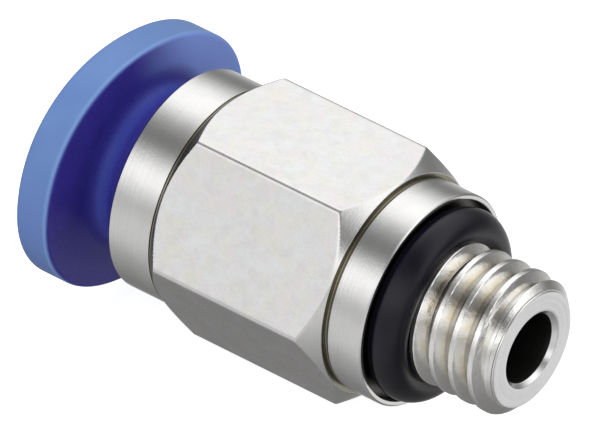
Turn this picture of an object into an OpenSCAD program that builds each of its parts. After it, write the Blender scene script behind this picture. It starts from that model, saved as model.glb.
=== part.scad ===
// Straight push-to-connect fitting: a nickel plated hexagon body with a male
// M5 thread and a port gasket at one end, and an oval release button around
// the tube mouth at the other.
// Frame: the fitting's axis lies along X and one hexagon flat faces up (+Z).
// The origin is the centre of the face that seats on the port. The thread
// runs to +X, the tube goes in from -X.

/* [Thread and port end] */
// Major diameter of the male thread
thread_d = 5; // [4.8:0.05:5.2]
// Pitch of the male thread
thread_pitch = 0.8; // [0.7:0.05:0.9]
// Length from the seat face to the tip of the thread
thread_len = 4.2; // [3.8:0.1:6]
// Diameter of the plain neck behind the thread, which carries the gasket
neck_d = 4; // [3.7:0.1:4.1]
// Diameter of the air bore
air_bore_d = 2.5; // [1.8:0.1:2.6]
// Diameter of the collar that seats on the port
collar_d = 7.6; // [7.5:0.05:7.9]
// Length of the collar
collar_len = 1.3; // [1:0.1:1.8]
// Diameter of the gasket recess in the collar's face
recess_d = 7.2; // [7.1:0.05:7.3]
// Depth of the gasket recess
recess_depth = 0.4; // [0.3:0.05:0.6]
// Thickness of the gasket's round section
gasket_section = 1.44; // [1.3:0.02:1.5]

/* [Hexagon] */
// Distance across the hexagon's flats
hex_af = 8; // [8:0.1:9]
// Length of the hexagon, with its end chamfers
hex_len = 7.2; // [6.6:0.1:8]
// Length of the cone that chamfers each end of the hexagon
hex_chamfer = 0.7; // [0.4:0.05:0.9]

/* [Tube end] */
// Outside diameter of the tube that the fitting takes
tube_d = 4; // [3.9:0.05:4]
// Diameter of the round barrel behind the hexagon
barrel_d = 7.9; // [7.8:0.02:8]
// Distance from the seat face to the barrel's mouth
mouth_x = 10.57; // [10.5:0.01:11]
// Diameter of the bore that holds the claw and the guide ring
claw_bore_d = 7; // [6.9:0.02:7.1]

/* [Release button] */
// Length of the oval flange, across its long axis
flange_long = 10.46; // [10:0.02:12]
// Width of the oval flange, across its short axis
flange_short = 8.86; // [8.7:0.02:10]
// How square the flange's oval is: 2 is a plain ellipse, more fills its corners
flange_square = 2.16; // [2:0.02:2.4]
// Thickness of the flange
flange_t = 1.4; // [1.2:0.05:1.8]
// Radius that rounds the rim of the flange
flange_round = 0.2; // [0.1:0.05:0.5]
// Radius of the fillet between the flange and the neck
flange_fillet = 0.5; // [0.1:0.05:0.5]
// Gap between the flange and the barrel's mouth, button out
flange_gap = 1.5; // [1.2:0.05:1.6]
// Outside diameter of the button's neck
button_neck_d = 5.5; // [5.4:0.02:5.56]
// Turn of the oval flange from level, about the tube's axis
button_turn = 10; // [-90:1:90]

/* [Lock claw] */
// Number of teeth round the claw
claw_teeth = 8; // [6:1:12]
// Radius of the circle that the tooth tips lie on
tooth_tip_r = 1.87; // [1.86:0.01:1.95]

/* [Hidden] */
$fn = 96;
eps = 0.02;

// distances along the axis, measured from the seat face towards the thread;
// everything on the tube's side is negative
tip_z      = thread_len;
groove_w   = 0.2;                          // relief between collar and hexagon
hex_top    = -collar_len - groove_w;       // end of the hexagon by the collar
hex_bot    = hex_top - hex_len;            // end of the hexagon by the barrel
relief_w   = 0.12;                         // fine relief between hexagon and barrel
mouth_z    = -mouth_x;
hex_r      = hex_af / 2 / cos(30);         // radius to the corners
hex_face_r = hex_af / 2 - 0.06;            // radius of each end face
// tube side bore
stop_z     = -2.1;                         // shoulder that the tube stops on
pocket_r   = tube_d / 2 + 0.05;            // pocket for the tube's end
pocket_z   = -4.6;                         // where the seal seat starts
seat_r     = 3.1;                          // seal seat
seat_z     = -7.0;                         // where the claw bore starts
// button
nose_z     = -7.75;                        // inner end of the button at rest
barb_z0    = -8.6;
barb_z1    = -9.15;                        // shoulder that the guide ring stops
lip_z      = -9.2;                         // shoulder inside the guide ring
flange_z0  = mouth_z - flange_gap;
flange_z1  = flange_z0 - flange_t;
button_r   = tube_d / 2 + 0.1;             // bore of the button
neck_r     = button_neck_d / 2;
barb_r     = 3.0;

nickel = [0.80, 0.80, 0.77];
blue   = [0.25, 0.42, 0.78];
black  = [0.08, 0.08, 0.10];
steel  = [0.62, 0.63, 0.65];
white  = [0.90, 0.90, 0.88];

// turns a part drawn along Z so that its axis lies along X
module lay() { rotate([0, 90, 0]) children(); }

// ring drawn as an outline in radius and distance along the axis
module turned(points) { rotate_extrude() polygon(points); }

module ring(r_in, r_out, z0, z1) {
    turned([[r_in, z0], [r_out, z0], [r_out, z1], [r_in, z1]]);
}

// ---- fitting body ------------------------------------------------------

// The thread is drawn as ridges of the thread's section, a pitch apart: the
// crest, the flanks at 30 degrees to the radius, and the flat root.
thread_depth  = 0.54 * thread_pitch;
thread_root_r = thread_d / 2 - thread_depth;
thread_crest  = 0.125 * thread_pitch;      // width of a crest
thread_flank  = thread_depth * tan(30);    // length of a flank along the axis
thread_end    = tip_z - 0.42;              // where the tip's chamfer starts
thread_turns  = floor((thread_end - 1.1) / thread_pitch);

// a crest, and the groove that follows it
function ridge(n) = let (e = thread_end - n * thread_pitch) [
    [thread_d / 2, e],
    [thread_d / 2, e - thread_crest],
    [thread_root_r, e - thread_crest - thread_flank],
    [thread_root_r, e - thread_pitch + thread_flank]];

// neck and thread, with a chamfered tip
module thread_stem() {
    last = thread_end - thread_turns * thread_pitch;
    turned(concat(
        [[air_bore_d / 2 - 0.2, tip_z], [thread_root_r + 0.02, tip_z]],
        [for (n = [0 : thread_turns - 1]) each ridge(n)],
        [[thread_d / 2, last], [thread_d / 2, last - thread_crest],
         [neck_d / 2, last - thread_crest - thread_flank],
         [neck_d / 2, -recess_depth - 0.3],
         [air_bore_d / 2 - 0.2, -recess_depth - 0.3]]));
}

module hexagon() {
    intersection() {
        translate([0, 0, hex_bot]) rotate(30)
            cylinder(r = hex_r, h = hex_len, $fn = 6);
        turned([[0, hex_top], [hex_face_r, hex_top],
                [hex_r + 0.08, hex_top - hex_chamfer],
                [hex_r + 0.08, hex_bot + hex_chamfer],
                [hex_face_r, hex_bot], [0, hex_bot]]);
    }
}

module fitting_body() {
    color(nickel) lay() difference() {
        union() {
            hexagon();
            // collar, with the relief behind it
            turned([[0, -0.0], [collar_d / 2 - 0.06, 0], [collar_d / 2, -0.06],
                    [collar_d / 2, -collar_len + 0.05],
                    [collar_d / 2 - 0.15, -collar_len - 0.05],
                    [collar_d / 2 - 0.15, hex_top - 0.1], [0, hex_top - 0.1]]);
            // barrel, with the fine relief beside the hexagon
            turned([[0, hex_bot + 0.1], [barrel_d / 2 - 0.1, hex_bot + 0.1],
                    [barrel_d / 2 - 0.1, hex_bot - relief_w],
                    [barrel_d / 2, hex_bot - relief_w - 0.05],
                    [barrel_d / 2, mouth_z + 0.12],
                    [barrel_d / 2 - 0.12, mouth_z], [0, mouth_z]]);
            thread_stem();
        }
        // gasket recess round the neck
        ring(neck_d / 2, recess_d / 2, -recess_depth, 1);
        // air bore, with its small countersink at the tip
        translate([0, 0, stop_z - 1]) cylinder(d = air_bore_d, h = tip_z - stop_z + 2);
        turned([[0, tip_z - 0.15], [air_bore_d / 2, tip_z - 0.15],
                [air_bore_d / 2 + 0.2, tip_z + 0.05], [0, tip_z + 0.05]]);
        // tube pocket, seal seat and claw bore, with a lead-in at the mouth
        translate([0, 0, pocket_z - 0.5]) cylinder(r = pocket_r, h = stop_z - pocket_z + 0.5);
        translate([0, 0, seat_z - 0.5]) cylinder(r = seat_r, h = pocket_z - seat_z + 0.5);
        translate([0, 0, mouth_z - 1]) cylinder(d = claw_bore_d, h = seat_z - mouth_z + 1);
    }
}

// ---- seals -------------------------------------------------------------

// port gasket: a rubber ring, stretched over the neck, that stands out of
// the recess until the port squeezes it
module port_gasket() {
    gr = gasket_section / 2;
    color(black) lay() translate([0, 0, -recess_depth + gr + eps])
        rotate_extrude() translate([neck_d / 2 + gr + 0.03, 0]) circle(r = gr);
}

// tube seal: a rubber sleeve whose lip leans towards the pressure
module tube_seal() {
    z0 = pocket_z - 0.05;
    color(black) lay() turned([
        [seat_r - 0.02, z0], [2.75, z0], [2.55, z0 - 0.55],
        [2.02, z0 - 0.12], [1.88, z0 - 0.3], [2.25, z0 - 1.1],
        [2.25, z0 - 1.5], [seat_r - 0.02, z0 - 1.5]]);
}

// backing ring: keeps the seal in its seat and makes room for the teeth
module backing_ring() {
    color(white) lay() turned([
        [2.15, -6.2], [seat_r - 0.02, -6.2], [seat_r - 0.02, seat_z + 0.01],
        [2.95, seat_z + 0.01], [2.15, -6.36]]);
}

// ---- claw --------------------------------------------------------------

// lock claw: a thin sprung steel ring with teeth that lean inwards and away
// from the mouth, so that they bite a tube that is pulled
module lock_claw() {
    rim_z = seat_z - 0.05;
    color(steel) lay() difference() {
        turned([[claw_bore_d / 2 - 0.06, rim_z], [2.86, rim_z],
                [tooth_tip_r + 0.1, rim_z + 0.62], [tooth_tip_r, rim_z + 0.5],
                [2.72, rim_z - 0.2], [claw_bore_d / 2 - 0.06, rim_z - 0.2]]);
        for (i = [0 : claw_teeth - 1]) rotate(i * 360 / claw_teeth)
            translate([1, -0.12, rim_z - 0.5]) cube([1.9, 0.24, 2]);
    }
}

// claw holder: a moulded ring that centres the claw and turns with it
module claw_holder() {
    color(white) lay() turned([
        [barb_r + 0.1, -7.3], [claw_bore_d / 2 - 0.06, -7.3],
        [claw_bore_d / 2 - 0.06, -8.6], [barb_r + 0.1, -8.6]]);
}

// guide ring: pressed into the mouth, it guides the button's neck and stops
// the barb
module guide_ring() {
    color(nickel) lay() turned([
        [claw_bore_d / 2 - 0.01, -8.65], [claw_bore_d / 2 - 0.01, mouth_z + 0.06],
        [claw_bore_d / 2 - 0.07, mouth_z], [neck_r + 0.17, mouth_z],
        [neck_r + 0.07, mouth_z + 0.1], [neck_r + 0.07, lip_z],
        [barb_r + 0.1, lip_z], [barb_r + 0.1, -8.65]]);
}

// ---- release button ----------------------------------------------------

// radius from the axis to a ring of the flange at angle t: an oval taken in
// by an inset, or a circle where round is 1
function full(v) = sign(v) * pow(abs(v), 2 / flange_square);

function ring_point(t, inset, round, r, z) = [
    (1 - round) * (flange_long / 2 - inset) * full(cos(t)) + round * r * cos(t),
    (1 - round) * (flange_short / 2 - inset) * full(sin(t)) + round * r * sin(t), z];

// [inset, round, radius, z] for each ring, from the outer face, over the rim,
// along the back and down the fillet onto the neck
flange_rings = concat(
    [for (k = [0 : 4]) [flange_round * (1 - sin(k * 22.5)), 0, 0,
                        flange_z1 + flange_round * (1 - cos(k * 22.5))]],
    [for (k = [0 : 4]) [flange_round * (1 - cos(k * 22.5)), 0, 0,
                        flange_z0 - flange_round * (1 - sin(k * 22.5))]],
    [for (k = [0 : 4]) [0, 1, neck_r + 0.02 + flange_fillet * (1 - sin(k * 22.5)),
                        flange_z0 + flange_fillet * (1 - cos(k * 22.5))]]);

// oval flange with a rounded rim, blended into the round neck behind it
module flange() {
    n = 72;
    m = len(flange_rings);
    pts = concat(
        [for (g = flange_rings, i = [0 : n - 1]) ring_point(i * 360 / n, g[0], g[1], g[2], g[3])],
        [[0, 0, flange_rings[0][3]], [0, 0, flange_rings[m - 1][3]]]);
    rotate(90 - button_turn) polyhedron(pts, concat(
        [for (i = [0 : n - 1]) [n * m, i, (i + 1) % n]],
        [for (j = [0 : m - 2], i = [0 : n - 1])
            let (a = j * n + i, b = j * n + (i + 1) % n)
            each [[a, a + n, b + n], [a, b + n, b]]],
        [for (i = [0 : n - 1]) [n * m + 1, (m - 1) * n + (i + 1) % n, (m - 1) * n + i]]),
        convexity = 4);
}

module release_button() {
    color(blue) lay() difference() {
        union() {
            flange();
            // neck, barb and tapered nose
            turned([[button_r - 0.3, flange_z1 + 0.3], [neck_r, flange_z1 + 0.3],
                    [neck_r, barb_z1], [barb_r, barb_z1],
                    [barb_r, barb_z0 - 0.2], [neck_r - 0.2, barb_z0 + 0.25],
                    [neck_r - 0.3, nose_z], [button_r - 0.3, nose_z]]);
        }
        // bore for the tube, flared at the mouth
        translate([0, 0, flange_z1 - 1]) cylinder(r = button_r, h = nose_z - flange_z1 + 2);
        turned([[0, flange_z1 - 0.1], [button_r + 0.5, flange_z1 - 0.1],
                [button_r, flange_z1 + 0.4], [0, flange_z1 + 0.4]]);
        // slots that let the barb snap through the guide ring
        for (i = [0 : 1]) rotate(i * 90 + 45)
            translate([-5, -0.2, -10.2]) cube([10, 0.4, 4]);
    }
}

fitting_body();
port_gasket();
tube_seal();
backing_ring();
lock_claw();
claw_holder();
guide_ring();
release_button();
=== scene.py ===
import bpy
import bmesh
import math
import numpy as np
from mathutils import Matrix, Vector


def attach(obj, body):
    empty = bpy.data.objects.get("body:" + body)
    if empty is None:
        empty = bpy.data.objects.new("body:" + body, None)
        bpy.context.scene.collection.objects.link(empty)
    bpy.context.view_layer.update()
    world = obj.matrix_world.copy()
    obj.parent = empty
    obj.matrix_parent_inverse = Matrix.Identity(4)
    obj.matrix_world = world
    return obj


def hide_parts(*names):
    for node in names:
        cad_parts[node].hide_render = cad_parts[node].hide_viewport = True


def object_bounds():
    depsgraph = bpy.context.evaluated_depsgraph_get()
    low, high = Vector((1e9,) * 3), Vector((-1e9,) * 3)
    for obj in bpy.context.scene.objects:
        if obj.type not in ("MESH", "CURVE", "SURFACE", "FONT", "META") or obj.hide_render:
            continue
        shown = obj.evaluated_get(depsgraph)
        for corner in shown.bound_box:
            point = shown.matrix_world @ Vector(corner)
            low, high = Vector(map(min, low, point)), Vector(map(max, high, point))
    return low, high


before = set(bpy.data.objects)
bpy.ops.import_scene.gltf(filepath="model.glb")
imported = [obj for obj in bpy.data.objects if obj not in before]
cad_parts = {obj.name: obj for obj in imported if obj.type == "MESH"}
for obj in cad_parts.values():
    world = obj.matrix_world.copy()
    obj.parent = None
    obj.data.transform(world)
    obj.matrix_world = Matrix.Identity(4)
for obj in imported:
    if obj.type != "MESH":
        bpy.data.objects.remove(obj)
cad_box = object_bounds()
scene = bpy.context.scene
MM = 0.001

# ------------------------------------------------------------------ sizes, mm
# x runs along the fitting's axis: +X is the thread's tip, -X the tube's side
TIP = 4.2
HEX_A = 4.0            # half the distance across the flats
HEX_X0, HEX_X1 = -1.5, -8.7
MOUTH = -10.57
PITCH = 0.8
ROOT = 2.068
CREST = 2.5


# ------------------------------------------------------------------ mesh kit
def smin(a, b, k):
    """The lower of two numbers, with the corner between them rounded over k."""
    h = np.maximum(k - np.abs(a - b), 0.0) / k
    return np.minimum(a, b) - h * h * k / 4


def smax(a, b, k):
    return -smin(-a, -b, k)


def arc(cx, cr, rad, a0, a1, n):
    """Points (x, r) on an arc, angles in degrees from +x towards +r."""
    t = np.radians(np.linspace(a0, a1, n))
    return [(cx + rad * math.cos(v), cr + rad * math.sin(v)) for v in t]


def soften(points, size, steps=3, closed=True):
    """Rounds each corner of an outline (x, r). A point is (x, r) or (x, r, size)."""
    out = []
    n = len(points)
    for i, p in enumerate(points):
        q = np.array(p[:2], float)
        s = p[2] if len(p) > 2 else size
        if not closed and i in (0, n - 1):
            out.append(tuple(q))
            continue
        a = np.array(points[i - 1][:2], float)
        b = np.array(points[(i + 1) % n][:2], float)
        la, lb = np.linalg.norm(a - q), np.linalg.norm(b - q)
        ua, ub = (a - q) / la, (b - q) / lb
        turn = math.acos(max(-1, min(1, float(-(ua @ ub)))))
        if s <= 0 or turn < math.radians(4):
            out.append(tuple(q))
            continue
        cut = min(s * math.tan(turn / 2), la * 0.45, lb * 0.45)
        rad = cut / math.tan(turn / 2)
        centre = q + (ua + ub) / np.linalg.norm(ua + ub) * rad / math.cos(turn / 2)
        v0, v1 = q + ua * cut - centre, q + ub * cut - centre
        for k in range(steps + 1):
            f = k / steps
            w = (math.sin((1 - f) * turn) * v0 + math.sin(f * turn) * v1) / math.sin(turn)
            out.append(tuple(centre + w))
    return out


def grid_object(name, X, Rr, theta, normals=None, ring=True, slots=None, smooth=True):
    """A closed shell from a grid: rows follow the outline, columns go round the X axis.
    X and Rr are rows by columns, in mm. ring joins the last row to the first."""
    rows, cols = X.shape
    ct, st = np.cos(theta), np.sin(theta)
    P = np.stack([X, Rr * ct, Rr * st], -1).reshape(-1, 3) * MM
    i = np.arange(rows if ring else rows - 1)
    j = np.arange(cols)
    I, J = np.meshgrid(i, j, indexing="ij")
    a = (I * cols + J)
    b = (I * cols + (J + 1) % cols)
    c = (((I + 1) % rows) * cols + (J + 1) % cols)
    d = (((I + 1) % rows) * cols + J)
    faces = np.stack([a, b, c, d], -1).reshape(-1, 4)
    # faces point away from the solid
    me = bpy.data.meshes.new(name)
    me.vertices.add(len(P))
    me.vertices.foreach_set("co", P.astype(np.float32).ravel())
    me.loops.add(faces.size)
    me.loops.foreach_set("vertex_index", faces.ravel().astype(np.int32))
    me.polygons.add(len(faces))
    me.polygons.foreach_set("loop_start", np.arange(0, faces.size, 4, dtype=np.int32))
    me.polygons.foreach_set("loop_total", np.full(len(faces), 4, np.int32))
    me.update(calc_edges=True)
    me.validate()
    vol = signed_volume(P, faces)
    if vol < 0:
        me.flip_normals()
    me.polygons.foreach_set("use_smooth", np.full(len(me.polygons), smooth))
    if slots is not None:
        rowslot = np.asarray(slots)
        me.polygons.foreach_set("material_index", np.repeat(rowslot[i], cols).astype(np.int32)
                                if rowslot.ndim == 1 else rowslot.reshape(-1).astype(np.int32))
    ob = bpy.data.objects.new(name, me)
    scene.collection.objects.link(ob)
    if normals is not None:
        me.normals_split_custom_set_from_vertices(normals.reshape(-1, 3).astype(np.float32))
    return ob


def signed_volume(P, faces):
    p0, p1, p2, p3 = (P[faces[:, k]] for k in range(4))
    return float((np.einsum("ij,ij->i", p0, np.cross(p1, p2))
                  + np.einsum("ij,ij->i", p0, np.cross(p2, p3))).sum()) / 6


def outline_normals(pts, closed=True):
    """For each point of an outline (x, r), the outward normal (nx, nr), weighted by
    the length of the stretches beside it, so that flats stay flat beside a round."""
    p = np.array(pts, float)
    nxt = np.roll(p, -1, 0) - p
    ln = np.linalg.norm(nxt, axis=1)
    # the outline runs with the solid on one side; the sign is set by the caller
    n = np.stack([nxt[:, 1], -nxt[:, 0]], -1)
    w = n * ln[:, None] ** 0.5
    m = w + np.roll(w, 1, 0)
    if not closed:
        m[0], m[-1] = w[0], np.roll(w, 1, 0)[-1]
    m /= np.maximum(np.linalg.norm(m, axis=1), 1e-12)[:, None]
    return m


def area(pts):
    p = np.array(pts, float)
    q = np.roll(p, -1, 0)
    return float((p[:, 0] * q[:, 1] - q[:, 0] * p[:, 1]).sum()) / 2


def turned(name, pts, cols=160, slots=None, theta=None):
    """A solid of revolution from a closed outline (x, r)."""
    if area(pts) < 0:
        pts = pts[::-1]
        if slots is not None:
            slots = (slots[::-1])[1:] + (slots[::-1])[:1]
    th = np.linspace(0, 2 * math.pi, cols, endpoint=False) if theta is None else theta
    p = np.array(pts, float)
    nn = outline_normals(pts)
    X = np.repeat(p[:, :1], len(th), 1)
    R = np.repeat(p[:, 1:], len(th), 1)
    N = np.stack([np.repeat(nn[:, :1], len(th), 1), nn[:, 1:] * np.cos(th)[None],
                  nn[:, 1:] * np.sin(th)[None]], -1)
    return grid_object(name, X, R, th[None] + 0 * X, N, slots=slots)


# ------------------------------------------------------------------ node kit
class Tree:
    """A small helper to write a node material."""

    def __init__(self, name):
        self.mat = bpy.data.materials.new(name)
        self.mat.use_nodes = True
        self.nt = self.mat.node_tree
        self.nt.nodes.clear()
        self.out = self.nt.nodes.new("ShaderNodeOutputMaterial")
        self.bsdf = self.nt.nodes.new("ShaderNodeBsdfPrincipled")
        self.link(self.bsdf.outputs[0], self.out.inputs[0])
        self.coord = self.nt.nodes.new("ShaderNodeTexCoord")
        mp = self.nt.nodes.new("ShaderNodeMapping")
        mp.inputs["Scale"].default_value = (1000, 1000, 1000)  # into mm
        self.link(self.coord.outputs["Object"], mp.inputs["Vector"])
        self.mm = mp.outputs["Vector"]
        sp = self.nt.nodes.new("ShaderNodeSeparateXYZ")
        self.link(self.mm, sp.inputs[0])
        self.x, self.y, self.z = sp.outputs

    def link(self, a, b):
        self.nt.links.new(a, b)

    def _in(self, socket, v):
        if isinstance(v, bpy.types.NodeSocket):
            self.link(v, socket)
        elif v is not None:
            socket.default_value = v

    def math(self, op, a, b=None, c=None, clamp=False):
        n = self.nt.nodes.new("ShaderNodeMath")
        n.operation = op
        n.use_clamp = clamp
        for s, v in zip(n.inputs, (a, b, c)):
            self._in(s, v)
        return n.outputs[0]

    def vec(self, x, y, z):
        n = self.nt.nodes.new("ShaderNodeCombineXYZ")
        for s, v in zip(n.inputs, (x, y, z)):
            self._in(s, v)
        return n.outputs[0]

    def radius(self):
        return self.math("SQRT", self.math("ADD", self.math("MULTIPLY", self.y, self.y),
                                           self.math("MULTIPLY", self.z, self.z)))

    def angle(self):
        return self.math("ARCTAN2", self.z, self.y)

    def noise(self, vector, scale, detail=2.0, rough=0.5, dist=0.0):
        n = self.nt.nodes.new("ShaderNodeTexNoise")
        n.noise_dimensions = "3D"
        self._in(n.inputs["Vector"], vector)
        n.inputs["Scale"].default_value = scale
        n.inputs["Detail"].default_value = detail
        n.inputs["Roughness"].default_value = rough
        n.inputs["Distortion"].default_value = dist
        return n.outputs[0]

    def voronoi(self, vector, scale, feature="F1"):
        n = self.nt.nodes.new("ShaderNodeTexVoronoi")
        n.feature = feature
        self._in(n.inputs["Vector"], vector)
        n.inputs["Scale"].default_value = scale
        return n.outputs["Distance"]

    def ramp(self, fac, stops, mode="LINEAR"):
        n = self.nt.nodes.new("ShaderNodeValToRGB")
        n.color_ramp.interpolation = mode
        e = n.color_ramp.elements
        while len(e) < len(stops):
            e.new(0.5)
        for el, (pos, col) in zip(e, stops):
            el.position = pos
            el.color = (*col, 1) if len(col) == 3 else col
        self._in(n.inputs[0], fac)
        return n.outputs[0]

    def remap(self, v, a, b, c, d, smooth=False):
        n = self.nt.nodes.new("ShaderNodeMapRange")
        n.interpolation_type = "SMOOTHSTEP" if smooth else "LINEAR"
        self._in(n.inputs[0], v)
        for k, x in zip(range(1, 5), (a, b, c, d)):
            self._in(n.inputs[k], x)
        return n.outputs[0]

    def mix(self, fac, a, b, mode="MIX"):
        n = self.nt.nodes.new("ShaderNodeMix")
        n.data_type = "RGBA"
        n.blend_type = mode
        n.clamp_factor = True
        self._in(n.inputs[0], fac)
        ia = [s for s in n.inputs if s.type == "RGBA"]
        self._in(ia[0], a if isinstance(a, bpy.types.NodeSocket) else (*a, 1))
        self._in(ia[1], b if isinstance(b, bpy.types.NodeSocket) else (*b, 1))
        return [s for s in n.outputs if s.type == "RGBA"][0]

    def bump(self, height, strength, distance, normal=None):
        n = self.nt.nodes.new("ShaderNodeBump")
        n.inputs["Strength"].default_value = strength
        n.inputs["Distance"].default_value = distance
        self._in(n.inputs["Height"], height)
        if normal is not None:
            self.link(normal, n.inputs["Normal"])
        return n.outputs[0]

    def geometry(self, name):
        n = self.nt.nodes.new("ShaderNodeNewGeometry")
        return n.outputs[name]

    def set(self, **kw):
        for k, v in kw.items():
            self._in(self.bsdf.inputs[k.replace("_", " ")], v)


def metal(name, kind, base=(0.80, 0.795, 0.785), rough=0.2, aniso=0.0, tint=None, lines_by=1.0, dents=0.0):
    """Bright nickel plate. kind says how the surface was cut: turned (lines round the
    axis on a cylinder or cone), faced (lines round the axis on an end face) or flat
    (a milled flat, finely mottled). tint is a function of the tree that gives a
    (factor, colour) pair."""
    t = Tree(name)
    r = t.radius()
    mottle = t.noise(t.mm, 1.3, 4, 0.55)
    fine = t.noise(t.mm, 14, 3, 0.6)
    speck = t.noise(t.mm, 5.5, 5, 0.65)
    dull = 0.92 if kind == "flat" else 0.96
    col = t.mix(t.remap(mottle, 0.36, 0.64, 0, 1), tuple(c * dull for c in base), base)
    if kind == "flat":
        # tumbled before plating: soft blotches a shade pinker or yellower than the rest
        pink = t.noise(t.vec(t.math("ADD", t.x, 7.0), t.y, t.z), 1.1, 4, 0.62)
        gold = t.noise(t.vec(t.x, t.math("ADD", t.y, 11.0), t.z), 1.5, 4, 0.62)
        col = t.mix(t.remap(pink, 0.46, 0.62, 0, 0.85), col, (0.80, 0.75, 0.76))
        col = t.mix(t.remap(gold, 0.48, 0.64, 0, 0.85), col, (0.795, 0.785, 0.715))
        cloudy = t.noise(t.vec(t.x, t.y, t.math("ADD", t.z, 5.0)), 2.2, 5, 0.7, 0.4)
        col = t.mix(t.remap(cloudy, 0.44, 0.64, 0, 0.50), col, (0.68, 0.68, 0.67))
        rr = t.math("ADD", t.remap(mottle, 0.3, 0.7, rough - 0.03, rough + 0.04),
                    t.remap(fine, 0.3, 0.7, -0.02, 0.02))
        n1 = t.bump(t.math("ADD", t.math("MULTIPLY", speck, 0.6), t.math("MULTIPLY", fine, 0.12)),
                    0.025, 0.02 * MM * 6)
        t.set(Roughness=rr, Normal=n1)
    else:
        along = r if kind == "faced" else t.x
        wob = t.math("MULTIPLY", t.noise(t.mm, 0.6, 1, 0.5), 0.05)
        a2 = t.math("ADD", along, wob)
        lines = t.noise(t.vec(t.math("MULTIPLY", a2, 1.0), 0.0, 0.0), 16, 4, 0.75)
        coarse = t.noise(t.vec(t.math("MULTIPLY", a2, 1.0), 3.0, 0.0), 4.5, 3, 0.6)
        col = t.mix(t.remap(speck, 0.58, 0.82, 0, 0.30), col, tuple(c * 0.82 for c in base))
        col = t.mix(t.remap(lines, 0.48, 0.75, 0, 0.22 * lines_by), col, tuple(c * 0.78 for c in base))
        rr = t.math("ADD", t.remap(lines, 0.3, 0.7, rough - 0.04 * lines_by, rough + 0.05 * lines_by),
                    t.remap(fine, 0.3, 0.7, -0.015, 0.015))
        n1 = t.bump(lines, 0.16 * lines_by, 0.012 * MM * 5)
        n1 = t.bump(coarse, 0.08 * lines_by, 0.02 * MM * 5, n1)
        n1 = t.bump(t.math("ADD", fine, speck), 0.05, 0.01 * MM * 5, n1)
        if dents:
            n1 = t.bump(t.noise(t.mm, 3.2, 3, 0.6), dents, 0.10 * MM, n1)
        t.set(Roughness=rr, Normal=n1)
    if tint is not None:
        f, c = tint(t)
        col = t.mix(f, col, c)
    t.set(Base_Color=col, Metallic=1.0)
    if aniso:
        tg = t.nt.nodes.new("ShaderNodeTangent")
        tg.direction_type = "RADIAL"
        tg.axis = "X"
        t.link(tg.outputs[0], t.bsdf.inputs["Tangent"])
        t.bsdf.inputs["Anisotropic"].default_value = aniso
    return t.mat


def groove_gold_and_shade(t):
    """The bottoms of the thread's grooves hold a yellower film than the crests; the very root of each groove is
    darker still, as painted shade.
    """
    low = t.remap(t.radius(), 2.10, 2.44, 0.62, 0.0, True)
    patch = t.remap(t.noise(t.mm, 1.7, 3, 0.6), 0.40, 0.62, 0.10, 1.0)
    # painted shade: the very root of the groove is darkened to a dark brown
    root = t.remap(t.radius(), 2.075, 2.17, 1.0, 0.0, True)
    shade = t.mix(root, (0.70, 0.61, 0.41), (0.26, 0.23, 0.17))
    f = t.math("MAXIMUM", t.math("MULTIPLY", low, patch), t.math("MULTIPLY", root, 0.75))
    # not on the chamfer at the tip, which is as bright as the end face
    return t.math("MULTIPLY", f, t.remap(t.x, 3.60, 3.85, 1.0, 0.0, True)), shade


M_TURN = metal("nickel_turned", "turned", rough=0.15)
M_FLAT = metal("nickel_flat", "flat", base=(0.815, 0.825, 0.825), rough=0.27)
M_FACE = metal("nickel_faced", "faced", base=(0.84, 0.84, 0.845), rough=0.20)
M_THREAD = metal("nickel_thread", "turned", base=(0.89, 0.88, 0.86), rough=0.06, tint=groove_gold_and_shade, lines_by=0.45, dents=0.09)
# painted shade: a dark brownish base for the narrow relief grooves
M_GROOVE = metal("nickel_groove", "turned", base=(0.30, 0.28, 0.22), rough=0.24)
# painted shade: a near-black base for the inside of the bores
M_BORE = metal("nickel_bore", "turned", base=(0.12, 0.115, 0.11), rough=0.40)
def cone_shade(t):
    """The cone behind the hexagon is darkest at its root, where little light gets in."""
    return t.remap(t.radius(), 4.0, 4.7, 1.0, 0.35), (0.12, 0.12, 0.105)


# painted shade: this cone's nickel has a darker base than the rest, besides the darkening towards its root
M_CONE = metal("nickel_cone", "turned", base=(0.55, 0.545, 0.52), rough=0.30, tint=cone_shade)
M_DARK = metal("nickel_recess", "turned", base=(0.14, 0.135, 0.125), rough=0.34)

# ------------------------------------------------------------------ fitting body
HALF = [0, .17, .34, .52, .9, 1.6, 2.6] + list(np.arange(4, 30.01, 1.625))
HALF = [h for h in HALF if h < 29.9]
cols = []
for k in range(6):
    c = 60 * k                      # hexagon corners at 0, 60, 120 ... degrees
    cols += [c - h for h in HALF[:0:-1]] + [c + h for h in HALF] + [c + 30]
TH = np.radians(np.array(cols, float))


def hex_r(th):
    """Radius of the hexagon's outline, its corners rounded."""
    rho = 0.18
    C = (HEX_A - rho) / math.cos(math.radians(30))
    d = (np.degrees(th) + 30) % 60 - 30
    dr = np.radians(d)
    flat = HEX_A / np.cos(np.radians(30) - np.abs(dr))
    lim = math.atan2(rho * 0.5, C + rho * math.cos(math.radians(30)))
    rnd = C * np.cos(dr) + np.sqrt(np.maximum(rho ** 2 - (C * np.sin(dr)) ** 2, 0))
    return np.where(np.abs(dr) < lim, rnd, flat)


def cone_r(x):
    slope = (4 / math.cos(math.radians(30)) + 0.08 - 3.94) / 0.7
    d = np.minimum(HEX_X0 - x, x - HEX_X1)
    return 3.94 + slope * d


def hex_zone(x, th):
    return smin(hex_r(th), cone_r(x), 0.05)


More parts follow.
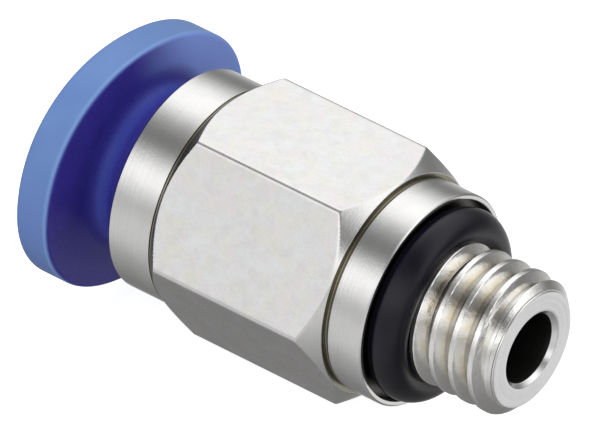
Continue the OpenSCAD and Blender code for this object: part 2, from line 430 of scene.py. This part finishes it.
def thread_zone(x, th):
    """A right-handed thread: the groove moves towards the tip as the angle grows."""
    centre = 0.32 + PITCH * th / (2 * math.pi)
    u = (x - centre + PITCH / 2) % PITCH - PITCH / 2
    flank = ROOT + (np.abs(u) - 0.072) / 0.569
    t = smax(smin(flank, CREST + 0 * x, 0.035), ROOT + 0 * x, 0.05)
    blank = smin(smin(2.0 + (x - 0.5) / 0.6, CREST + 0 * x, 0.04),
                 2.07 + (TIP - x) * 1.02, 0.05)
    blank = smax(blank, 2.0 + 0 * x, 0.03)
    return smin(t, blank, 0.03)


def zone_normals(f, x, th):
    h, g = 1e-4, 1e-5
    r = f(x, th)
    rx = (f(x + h, th) - f(x - h, th)) / (2 * h)
    rt = (f(x, th + g) - f(x, th - g)) / (2 * g) / r
    c, s = np.cos(th), np.sin(th)
    n = np.stack([-rx, c + rt * s, s - rt * c], -1)
    return n / np.linalg.norm(n, axis=-1)[..., None]


# slots on the body: 0 turned, 1 flat, 2 faced, 3 thread, 4 groove, 5 bore
def body():
    X, R, N, S = [], [], [], []

    def rings(pts, slot, sign=1.0):
        """Plain turned rows. pts run in the direction of the whole outline."""
        p = np.array(pts, float)
        d = np.diff(p, axis=0)
        ln = np.linalg.norm(d, axis=1)
        seg = np.stack([d[:, 1], -d[:, 0]], -1) * (ln ** -0.5)[:, None]
        m = np.zeros_like(p)
        m[:-1] += seg
        m[1:] += seg
        m /= np.linalg.norm(m, axis=1)[:, None]
        for (x, r), (nx, nr) in zip(p, m):
            X.append(np.full(len(TH), x))
            R.append(np.full(len(TH), r))
            N.append(np.stack([np.full(len(TH), nx), nr * np.cos(TH), nr * np.sin(TH)], -1))
            S.append(slot)

    def zone(f, xs, slot, flat_slot=None):
        for x in xs:
            xx = np.full(len(TH), x)
            X.append(xx)
            R.append(f(xx, TH))
            N.append(zone_normals(f, xx, TH))
            S.append(slot)

    # the outline runs from the bore at the tip, out over the tip's face, back along
    # the outside to the mouth, then in through the mouth and forward along the bores
    bore_tip = soften([(3.0, 1.25), (TIP - 0.15, 1.25), (TIP, 1.39), (TIP, 2.0)], 0.03, 3, closed=False)
    rings(bore_tip[1:-1], 2)
    rings([(TIP, 1.5), (TIP, 1.97)], 2)
    # thread and its chamfered tip
    xs = np.concatenate([TIP - np.array([0.0, 0.006, 0.014, 0.024, 0.036, 0.05]),
                         np.arange(TIP - 0.07, 0.42, -0.02)])
    zone(lambda x, th: smin(thread_zone(x, th), 2.0 + np.sqrt(np.maximum(0.0025 - (np.maximum(x - (TIP - 0.05), 0)) ** 2, 0)) + 0.05 + 10 * (x < TIP - 0.05), 0.004),
         xs, 3)
    # neck, gasket recess and its lip, collar, relief
    rings(soften([(0.40, 2.0), (-0.4, 2.0), (-0.4, 3.6), (0.0, 3.6), (0.0, 3.74), (-0.06, 3.8),
                  (-1.34, 3.8), (-1.39, 3.70), (HEX_X0, 3.70), (HEX_X0, 3.88)], 0.03, 3, closed=False)[1:-1], 0)
    # face of the hexagon and the hexagon
    rings([(HEX_X0, 3.76), (HEX_X0, 3.925)], 2)
    d = np.concatenate([[0.008, 0.02], np.arange(0.04, 0.75, 0.022)])
    xs = np.concatenate([HEX_X0 - d, np.linspace(HEX_X0 - 0.9, HEX_X1 + 0.9, 9), (HEX_X1 + d)[::-1]])
    zone(hex_zone, xs, 1)
    rings([(HEX_X1, 3.925), (HEX_X1, 3.92)], 2)
    rings(soften([(HEX_X1, 3.915), (HEX_X1, 3.89), (HEX_X1 - 0.06, 3.89), (HEX_X1 - 0.10, 3.95),
                  (MOUTH + 0.12, 3.95), (MOUTH, 3.83), (MOUTH, 3.5), (MOUTH + 0.5, 3.5)],
                 0.03, 3, closed=False)[1:-1], 0)
    # the bores, from the mouth inwards, in near-black nickel as painted shade
    rings(soften([(MOUTH + 0.3, 3.5), (-7.0, 3.5), (-7.0, 3.1), (-4.6, 3.1), (-4.6, 2.05),
                  (-2.1, 2.05), (-2.1, 1.25), (TIP - 0.4, 1.25)], 0.02, 2, closed=False), 5)
    X, R, N = np.array(X), np.array(R), np.array(N)
    S = np.array(S)
    rows = len(S)
    slot = np.repeat(S[:, None], len(TH), 1)
    # on the hexagon, the part that lies on the cone was turned, not milled
    hexrows = np.where(S == 1)[0]
    mid_t = TH[None] + 0 * X
    nxt = np.roll(np.arange(rows), -1)
    xm = (X + X[nxt]) / 2
    on_cone = (cone_r(xm) < hex_r(mid_t)) & (slot == 1)
    slot[on_cone] = 0
    # painted shade: on the tube's side the cone takes the darker nickel_cone
    slot[on_cone & (X < -8)] = 7
    # the fine reliefs either side of the hexagon get a dark brownish nickel, painted shade in the narrow grooves
    deep = (R < 3.78) & (X < -1.30) & (X > -1.56)
    slot[deep] = 4
    # little light reaches the gasket's recess or the corner beside the barrel
    slot[(R < 3.62) & (X < -0.04) & (X > -0.5) & (R > 1.6)] = 6
    slot[(X < HEX_X1 + 0.02) & (X > HEX_X1 - 0.12) & (R < 3.93) & (R > 3.8)] = 4
    return grid_object("fitting_body_shell", X, R, TH[None] + 0 * X, N, slots=slot)


shell = body()
for m in (M_TURN, M_FLAT, M_FACE, M_THREAD, M_GROOVE, M_BORE, M_DARK, M_CONE):
    shell.data.materials.append(m)
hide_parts("fitting_body")
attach(shell, "root")


# ------------------------------------------------------------------ materials, the rest
def plastic_blue():
    t = Tree("blue_acetal")
    r = t.radius()
    # painted light: the rim gets a lighter blue as painted sheen, the back face and neck a deep indigo as painted
    # shade
    face = t.remap(t.x, -12.20, -12.06, 0, 1, True)          # back face and neck
    # painted light: the back face is made lighter towards +Y, where it is lit
    lit = t.remap(t.y, -0.9, 2.8, 0, 1, True)
    neck = t.remap(r, 3.6, 3.0, 0, 1, True)
    cloud = t.noise(t.mm, 0.9, 3, 0.5)
    fine = t.noise(t.mm, 22, 3, 0.6)
    grain = t.noise(t.mm, 60, 2, 0.6)
    # painted shade: the rim is made darker towards the bottom (-Z)
    low = t.remap(t.z, 3.5, -3.0, 0, 1, True)
    rim = t.mix(low, (0.165, 0.290, 0.61), (0.128, 0.210, 0.53))
    rim = t.mix(t.remap(cloud, 0.35, 0.65, 0, 0.5), rim, (0.140, 0.250, 0.57))
    # painted shade: the deep indigo of the back face, and below the neck's own shade colour
    deep = t.mix(t.remap(cloud, 0.35, 0.65, 0, 1), (0.034, 0.020, 0.27), (0.040, 0.026, 0.31))
    deep = t.mix(lit, deep, (0.25, 0.38, 0.92))
    deep = t.mix(neck, deep, (0.042, 0.036, 0.33))
    # painted highlight: a lighter blue band round the neck's fillet
    root = t.math("MULTIPLY", t.remap(t.x, -12.02, -11.78, 0, 1, True), t.remap(t.x, -11.62, -11.36, 1, 0, True))
    deep = t.mix(root, deep, (0.058, 0.078, 0.47))
    col = t.mix(face, rim, deep)
    # painted highlight: a lighter blue line along the back edge of the rim
    edge = t.math("MULTIPLY", t.remap(t.x, -12.30, -12.20, 0, 1, True), t.remap(t.x, -12.16, -12.085, 1, 0, True))
    col = t.mix(t.math("MULTIPLY", edge, 0.55), col, (0.24, 0.41, 0.76))
    col = t.mix(t.remap(fine, 0.5, 0.8, 0, 0.16), col, (0.20, 0.34, 0.70))
    n = t.bump(t.math("ADD", t.math("MULTIPLY", fine, 0.7), t.math("MULTIPLY", grain, 0.5)), 0.18, 0.05 * MM)
    n = t.bump(cloud, 0.08, 0.15 * MM, n)
    t.set(Base_Color=col, Roughness=t.remap(fine, 0.3, 0.7, 0.34, 0.44), Normal=n)
    t.bsdf.inputs["IOR"].default_value = 1.48
    t.bsdf.inputs["Specular IOR Level"].default_value = 0.22
    t.bsdf.inputs["Subsurface Weight"].default_value = 0.10
    t.bsdf.inputs["Subsurface Radius"].default_value = (0.10 * MM, 0.15 * MM, 0.5 * MM)
    t.bsdf.inputs["Subsurface Scale"].default_value = 1.0
    return t.mat


def rubber(name, base, lift, rough=0.30):
    t = Tree(name)
    cloud = t.noise(t.mm, 1.1, 4, 0.6)
    fine = t.noise(t.mm, 26, 3, 0.65)
    dust = t.noise(t.mm, 7, 5, 0.7)
    col = t.mix(t.remap(cloud, 0.35, 0.7, 0, 1), base, lift)
    col = t.mix(t.remap(dust, 0.60, 0.82, 0, 0.22), col, tuple(min(1, c * 2 + 0.01) for c in lift))
    n = t.bump(t.math("ADD", fine, t.math("MULTIPLY", dust, 0.5)), 0.16, 0.04 * MM)
    t.set(Base_Color=col, Roughness=t.remap(cloud, 0.3, 0.7, rough, rough + 0.08), Normal=n)
    t.bsdf.inputs["IOR"].default_value = 1.40
    return t.mat


def acetal():
    t = Tree("natural_acetal")
    cloud = t.noise(t.mm, 1.5, 3, 0.5)
    fine = t.noise(t.mm, 24, 3, 0.6)
    col = t.mix(t.remap(cloud, 0.35, 0.65, 0, 1), (0.72, 0.71, 0.66), (0.80, 0.79, 0.75))
    n = t.bump(fine, 0.15, 0.04 * MM)
    t.set(Base_Color=col, Roughness=t.remap(fine, 0.3, 0.7, 0.36, 0.48), Normal=n)
    t.bsdf.inputs["Subsurface Weight"].default_value = 0.2
    t.bsdf.inputs["Subsurface Radius"].default_value = (0.4 * MM, 0.35 * MM, 0.3 * MM)
    t.bsdf.inputs["Subsurface Scale"].default_value = 1.0
    return t.mat


M_BLUE = plastic_blue()
M_NBR = rubber("gasket_rubber", (0.004, 0.003, 0.008), (0.007, 0.006, 0.014), 0.16)
M_SEAL = rubber("seal_rubber", (0.012, 0.012, 0.013), (0.020, 0.020, 0.021))
M_POM = acetal()
M_STEEL = metal("spring_steel", "faced", base=(0.60, 0.60, 0.61), rough=0.22)
M_RING = metal("nickel_guide_ring", "faced", base=(0.78, 0.76, 0.72), rough=0.24)


# ------------------------------------------------------------------ release button
def button():
    """Oval flange with a rounded rim, filleted into a round neck that ends in the
    snap barb and a tapered nose, with the tube's bore through it."""
    x0, x1 = -12.07, -13.47          # back and outer face of the flange
    rnd, rnb, fil = 0.26, 0.13, 0.50   # outer rim, back rim, neck fillet
    rows = []                        # x, inset from the oval or None, radius

    def add(x, inset=None, r=None):
        rows.append((x, inset, r))

    # flared mouth of the bore, on the outer face
    for k in range(7):
        a = math.radians(90 * k / 6)
        add(x1 + 0.42 - 0.42 * math.sin(a), r=2.1 + 0.42 - 0.42 * math.cos(a))
    for r in (2.6, 2.9, 3.3, 3.6):
        add(x1, r=r)
    for ins in (0.7, 0.4):
        add(x1, inset=ins)
    for k in range(9):
        a = math.radians(90 * k / 8)
        add(x1 + rnd * (1 - math.cos(a)), inset=rnd * (1 - math.sin(a)))
    for f in (0.04, 0.35, 0.65, 0.96):
        add(x1 + rnd + (x0 - x1 - rnd - rnb) * f, inset=0)
    for k in range(9):
        a = math.radians(90 * k / 8)
        add(x0 - rnb * (1 - math.sin(a)), inset=rnb * (1 - math.cos(a)))
    add(x0, inset=0.17)
    add(x0, inset=0.5)
    for r in (3.5, 3.3):
        add(x0, r=r)
    for k in range(9):
        a = math.radians(90 * k / 8)
        add(x0 + fil * (1 - math.cos(a)), r=2.75 + fil * (1 - math.sin(a)))
    tail = soften([(x0 + fil, 2.75), (-9.15, 2.75), (-9.15, 3.0), (-8.8, 3.0), (-8.35, 2.55),
                   (-7.75, 2.45), (-7.75, 2.1), (x1 + 0.42, 2.1)], 0.04, 3, closed=False)
    for x, r in tail[1:-1]:
        add(x, r=r)
    for x in np.arange(-8.2, x1 + 0.6, -0.6):
        add(float(x), r=2.1)
    n = 288
    th = np.linspace(0, 2 * math.pi, n, endpoint=False)
    turn = math.radians(10)
    ly, lz = -math.cos(turn), math.sin(turn)     # the oval's long axis, in Y and Z
    X, R = [], []
    for x, inset, r in rows:
        X.append(np.full(n, x))
        if inset is None:
            R.append(np.full(n, r))
        else:
            a, b = 5.222 - inset, 4.422 - inset
            cl = np.cos(th) * ly + np.sin(th) * lz
            sl = -np.cos(th) * lz + np.sin(th) * ly
            R.append((np.abs(cl / a) ** 2.16 + np.abs(sl / b) ** 2.16) ** (-1 / 2.16))
    ob = grid_object("release_button_shell", np.array(X), np.array(R), th[None] + 0 * np.array(X))
    return ob


btn = button()
# two crossed slots let the barb snap through the guide ring
cutters = []
for k in range(2):
    me = bpy.data.meshes.new("slot_cutter%d" % k)
    bm = bmesh.new()
    bmesh.ops.create_cube(bm, size=1)
    bmesh.ops.scale(bm, vec=(3.2 * MM, 10 * MM, 0.4 * MM), verts=bm.verts)
    bmesh.ops.translate(bm, vec=((-10.2 + 1.6) * MM, 0, 0), verts=bm.verts)
    bmesh.ops.rotate(bm, cent=(0, 0, 0), matrix=Matrix.Rotation(math.radians(45 + 90 * k), 3, "X"), verts=bm.verts)
    bm.to_mesh(me)
    bm.free()
    c = bpy.data.objects.new("slot_cutter%d" % k, me)
    scene.collection.objects.link(c)
    md = btn.modifiers.new("slot%d" % k, "BOOLEAN")
    md.operation, md.object, md.solver = "DIFFERENCE", c, "EXACT"
    cutters.append(c)
dg = bpy.context.evaluated_depsgraph_get()
done = bpy.data.meshes.new_from_object(btn.evaluated_get(dg))
btn.modifiers.clear()
btn.data = done
for c in cutters:
    bpy.data.objects.remove(c)
btn.data.polygons.foreach_set("use_smooth", np.ones(len(btn.data.polygons), bool))
btn.data.set_sharp_from_angle(angle=math.radians(50))
btn.data.materials.clear()
btn.data.materials.append(M_BLUE)
wn = btn.modifiers.new("normals", "WEIGHTED_NORMAL")
wn.keep_sharp = True
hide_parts("release_button")
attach(btn, "button")


# ------------------------------------------------------------------ port gasket
def gasket():
    """An O-ring: round in section, a touch uneven where it sits."""
    gr = 0.712
    cx, cr = 0.34, 2.745
    n, m = 256, 56
    th = np.linspace(0, 2 * math.pi, n, endpoint=False)
    ph = np.linspace(0, 2 * math.pi, m, endpoint=False)
    T, P = np.meshgrid(th, ph)
    wob = 0.006 * np.sin(3 * T + 1.0) + 0.004 * np.sin(7 * T + 2.0)
    rad = gr - 0.012 + wob * 0.5
    X = cx + rad * np.cos(P)
    R = cr + rad * np.sin(P)
    return grid_object("port_gasket_ring", X, R, T)


gk = gasket()
gk.data.materials.append(M_NBR)
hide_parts("port_gasket")
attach(gk, "root")

# ------------------------------------------------------------------ inner pieces
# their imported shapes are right, so they keep them and take a made material
for node, mat in (("tube_seal", M_SEAL), ("backing_ring", M_POM), ("lock_claw", M_STEEL),
                  ("claw_holder", M_POM), ("guide_ring", M_RING)):
    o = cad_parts[node]
    if not o.material_slots:
        o.data.materials.append(mat)
    for s in o.material_slots:
        s.material = mat

# ------------------------------------------------------------------ stage
lo, hi = cad_box
fz = -0.00526          # clears the oval button when it is swivelled upright
me = bpy.data.meshes.new("floor")
h = 0.6
me.from_pydata([(-h, -h, fz), (h, -h, fz), (h, h, fz), (-h, h, fz)], [], [(0, 1, 2, 3)])
floor = bpy.data.objects.new("floor", me)
scene.collection.objects.link(floor)
fm = bpy.data.materials.new("floor")
fm.use_nodes = True
nt = fm.node_tree
nt.nodes.clear()
o_ = nt.nodes.new("ShaderNodeOutputMaterial")
em = nt.nodes.new("ShaderNodeEmission")
em.inputs["Color"].default_value = (1, 1, 1, 1)
em.inputs["Strength"].default_value = 0.72
df = nt.nodes.new("ShaderNodeBsdfDiffuse")
df.inputs["Color"].default_value = (0.8, 0.8, 0.8, 1)
ad = nt.nodes.new("ShaderNodeAddShader")
nt.links.new(em.outputs[0], ad.inputs[0])
nt.links.new(df.outputs[0], ad.inputs[1])
nt.links.new(ad.outputs[0], o_.inputs[0])
me.materials.append(fm)
floor.visible_glossy = False
floor.visible_diffuse = False

# the studio: a surround whose brightness changes round the fitting's axis, as between
# the softboxes and dark gaps of a light tent
w = bpy.data.worlds.new("studio")
scene.world = w
w.use_nodes = True
nt = w.node_tree
nt.nodes.clear()
wo = nt.nodes.new("ShaderNodeOutputWorld")
tc = nt.nodes.new("ShaderNodeTexCoord")
sp = nt.nodes.new("ShaderNodeSeparateXYZ")
nt.links.new(tc.outputs["Generated"], sp.inputs[0])
at = nt.nodes.new("ShaderNodeMath")
at.operation = "ARCTAN2"
nt.links.new(sp.outputs[2], at.inputs[0])
nt.links.new(sp.outputs[1], at.inputs[1])
mr = nt.nodes.new("ShaderNodeMapRange")
nt.links.new(at.outputs[0], mr.inputs[0])
mr.inputs[1].default_value = -math.pi
mr.inputs[2].default_value = math.pi
rp = nt.nodes.new("ShaderNodeValToRGB")
rp.color_ramp.interpolation = "CARDINAL"
nt.links.new(mr.outputs[0], rp.inputs[0])
# (angle round the axis from +Y towards +Z in degrees, grey level on a display)
STOPS = [(-180, 181), (-166, 195), (-148, 196), (-136, 188), (-124, 166), (-110, 149), (-100, 139),
         (-88, 124), (-68, 117), (-56, 132), (-48, 195), (-41, 213), (-30, 190), (-16, 152),
         (-4, 122), (6, 120), (16, 155), (26, 197), (36, 234), (48, 254), (66, 254), (76, 232),
         (88, 180), (100, 138), (112, 120), (121, 146), (130, 197), (140, 240), (151, 251),
         (162, 230), (170, 205), (180, 181)]
TOP = 1.5               # the ramp holds 0 to 1, so it is drawn down and lit up by this
el = rp.color_ramp.elements
while len(el) < len(STOPS):
    el.new(0.5)
for e_, (a, g) in zip(el, STOPS):
    v = ((g / 255 + 0.055) / 1.055) ** 2.4 / 0.8 / TOP
    e_.position = (a + 180) / 360
    e_.color = (v, v, v, 1)
# mirror rays find a dark gap straight behind the tube's side
lp = nt.nodes.new("ShaderNodeLightPath")
side = nt.nodes.new("ShaderNodeMapRange")
side.interpolation_type = "SMOOTHSTEP"
nt.links.new(sp.outputs[0], side.inputs[0])
side.inputs[1].default_value = -0.84
side.inputs[2].default_value = -0.62
side.inputs[3].default_value = 0.93
side.inputs[4].default_value = 0.0
gap = nt.nodes.new("ShaderNodeMath")
gap.operation = "MULTIPLY"
nt.links.new(side.outputs[0], gap.inputs[0])
nt.links.new(lp.outputs["Is Glossy Ray"], gap.inputs[1])
st = nt.nodes.new("ShaderNodeMath")
st.operation = "MULTIPLY_ADD"
nt.links.new(gap.outputs[0], st.inputs[0])
st.inputs[1].default_value = -TOP
st.inputs[2].default_value = TOP
bg = nt.nodes.new("ShaderNodeBackground")
nt.links.new(rp.outputs[0], bg.inputs[0])
nt.links.new(st.outputs[0], bg.inputs[1])
white = nt.nodes.new("ShaderNodeBackground")
white.inputs[0].default_value = (1, 1, 1, 1)
white.inputs[1].default_value = 1.0
mx = nt.nodes.new("ShaderNodeMixShader")
nt.links.new(lp.outputs["Is Camera Ray"], mx.inputs[0])
nt.links.new(bg.outputs[0], mx.inputs[1])
nt.links.new(white.outputs[0], mx.inputs[2])
nt.links.new(mx.outputs[0], wo.inputs[0])


def softbox(name, where, size, power, colour=(1, 1, 1)):
    d = bpy.data.lights.new(name, "AREA")
    d.shape = "RECTANGLE"
    d.size, d.size_y = size
    d.energy = power
    d.color = colour
    ob = bpy.data.objects.new(name, d)
    scene.collection.objects.link(ob)
    ob.location = where
    ob.rotation_mode = "QUATERNION"
    ob.rotation_quaternion = (-(Vector(where))).to_track_quat("-Z", "Y")
    ob.visible_camera = False
    ob.visible_glossy = False
    return ob


softbox("key", (-0.05, -0.12, 0.22), (0.14, 0.10), 0.14)

# ------------------------------------------------------------------ camera
right = Vector((0.78199548, 0.62310874, 0.01478373))
down = Vector((0.38385799, -0.46277993, -0.7990543))
fwd = Vector((-0.49105611, 0.63053171, -0.60107708))
DIST = 0.60
cam = bpy.data.objects.new("camera", bpy.data.cameras.new("camera"))
scene.collection.objects.link(cam)
centre = Vector((TIP * MM, 0, 0)) + right * (-7.7517 * MM) + down * (-4.3621 * MM)
# the point on the view's line that is nearest the fitting's middle
mid = Vector((-4.6 * MM, 0, 0))
centre = centre + fwd * (mid - centre).dot(fwd)
M = Matrix((right, -down, -fwd)).transposed().to_4x4()
M.translation = centre - fwd * DIST
cam.matrix_world = M
cam.data.sensor_width = 36
cam.data.lens = 30.293 * DIST / MM / 591 * 36
cam.data.clip_start = 0.01
cam.data.clip_end = 5
cam.data.dof.use_dof = False
scene.camera = cam
scene.view_settings.view_transform = "Standard"
scene.view_settings.look = "None"

bpy.context.view_layer.update()
